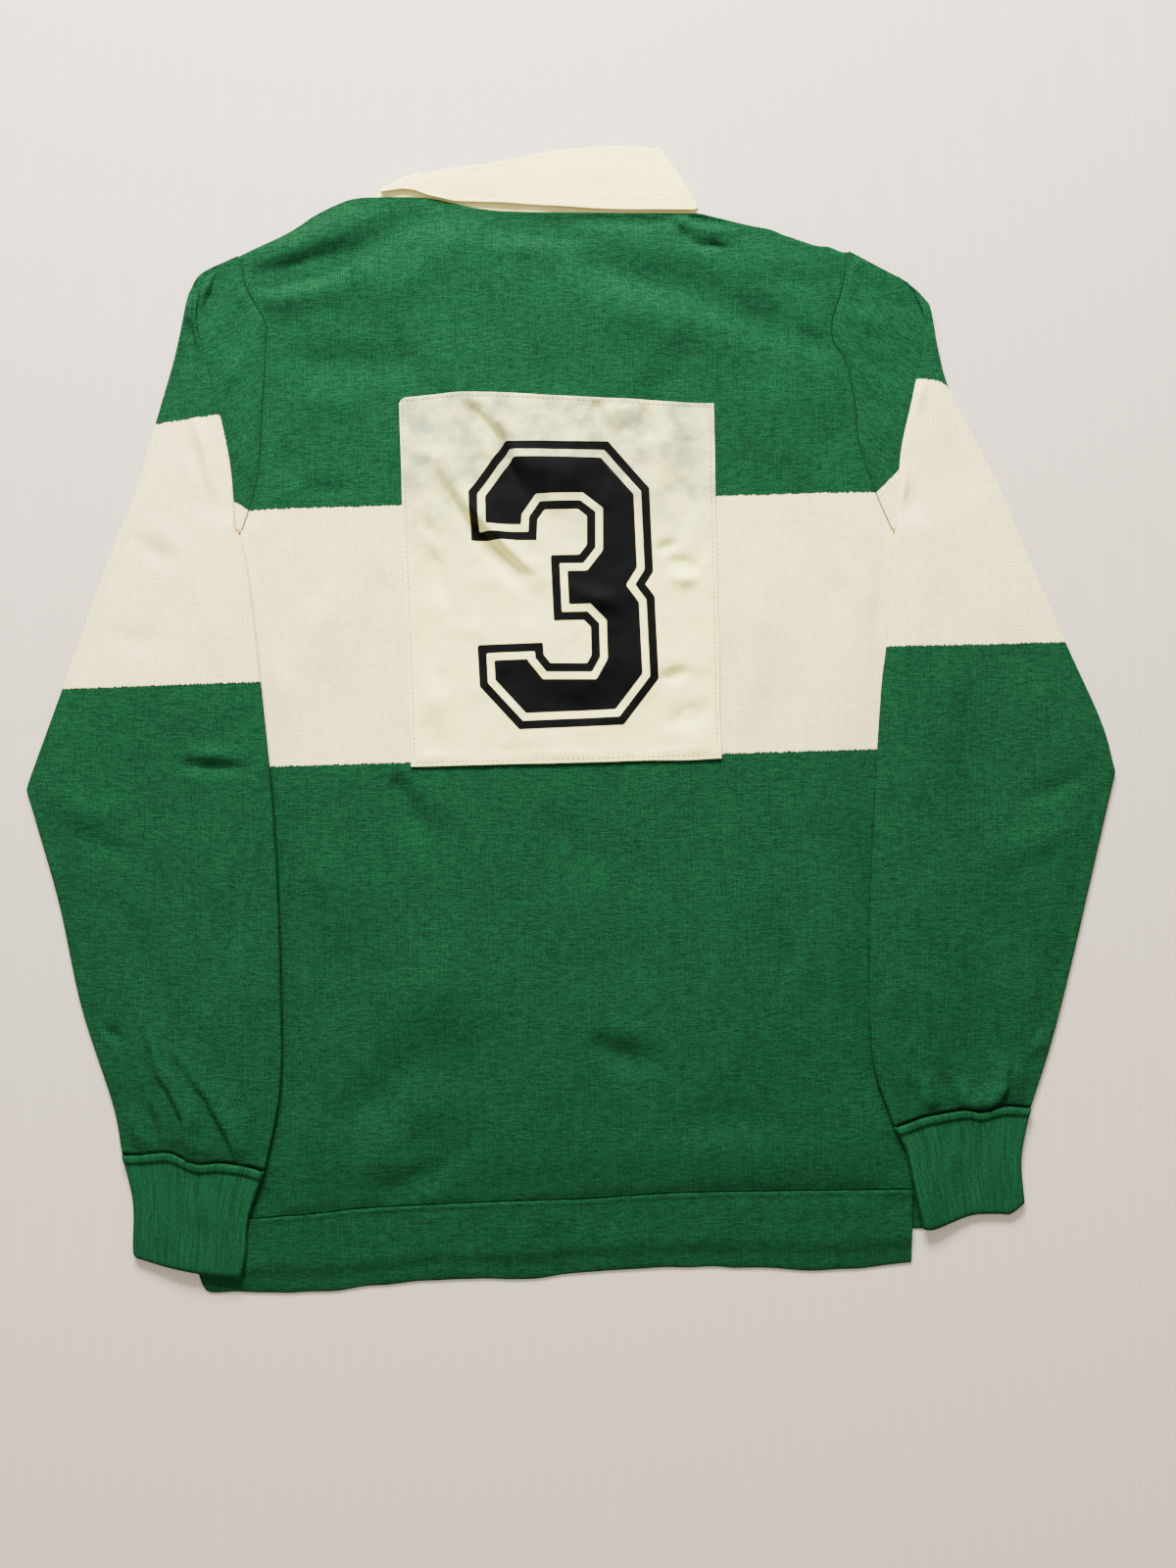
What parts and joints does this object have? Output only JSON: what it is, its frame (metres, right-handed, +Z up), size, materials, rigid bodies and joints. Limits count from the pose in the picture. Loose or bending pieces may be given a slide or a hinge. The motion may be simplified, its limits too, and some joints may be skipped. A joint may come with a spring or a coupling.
{
  "type": "long-sleeved sports jersey, laid flat",
  "caption": "Long-sleeved knitted sports jersey laid flat, back up, with folded woven collar, striped body and sleeves, ribbed cuffs, side-vented hem and a numbered back patch.",
  "frame": {"origin": "under the middle of the bounding box, on the surface that the jersey lies on", "axes": "+Z up out of the surface, +Y from the hem towards the collar, +X to the right of a viewer who looks down at the back"},
  "size_m": [0.695, 0.7309, 0.0114],
  "materials": {
    "body_knit": "matte",
    "band_knit": "matte",
    "sleeve_knit": "matte",
    "rib_knit": "matte",
    "collar_twill": "matte",
    "patch_twill": "matte"
  },
  "bodies": {
    "root": {"back_panel": "body_knit", "front_panel": "body_knit", "placket": "collar_twill", "number_patch": "patch_twill", "hem_band_back": "band_knit", "hem_band_front": "band_knit", "sleeve_left": "sleeve_knit", "cuff_left": "rib_knit", "sleeve_right": "sleeve_knit", "cuff_right": "rib_knit", "collar": "collar_twill"}
  },
  "joints": []
}
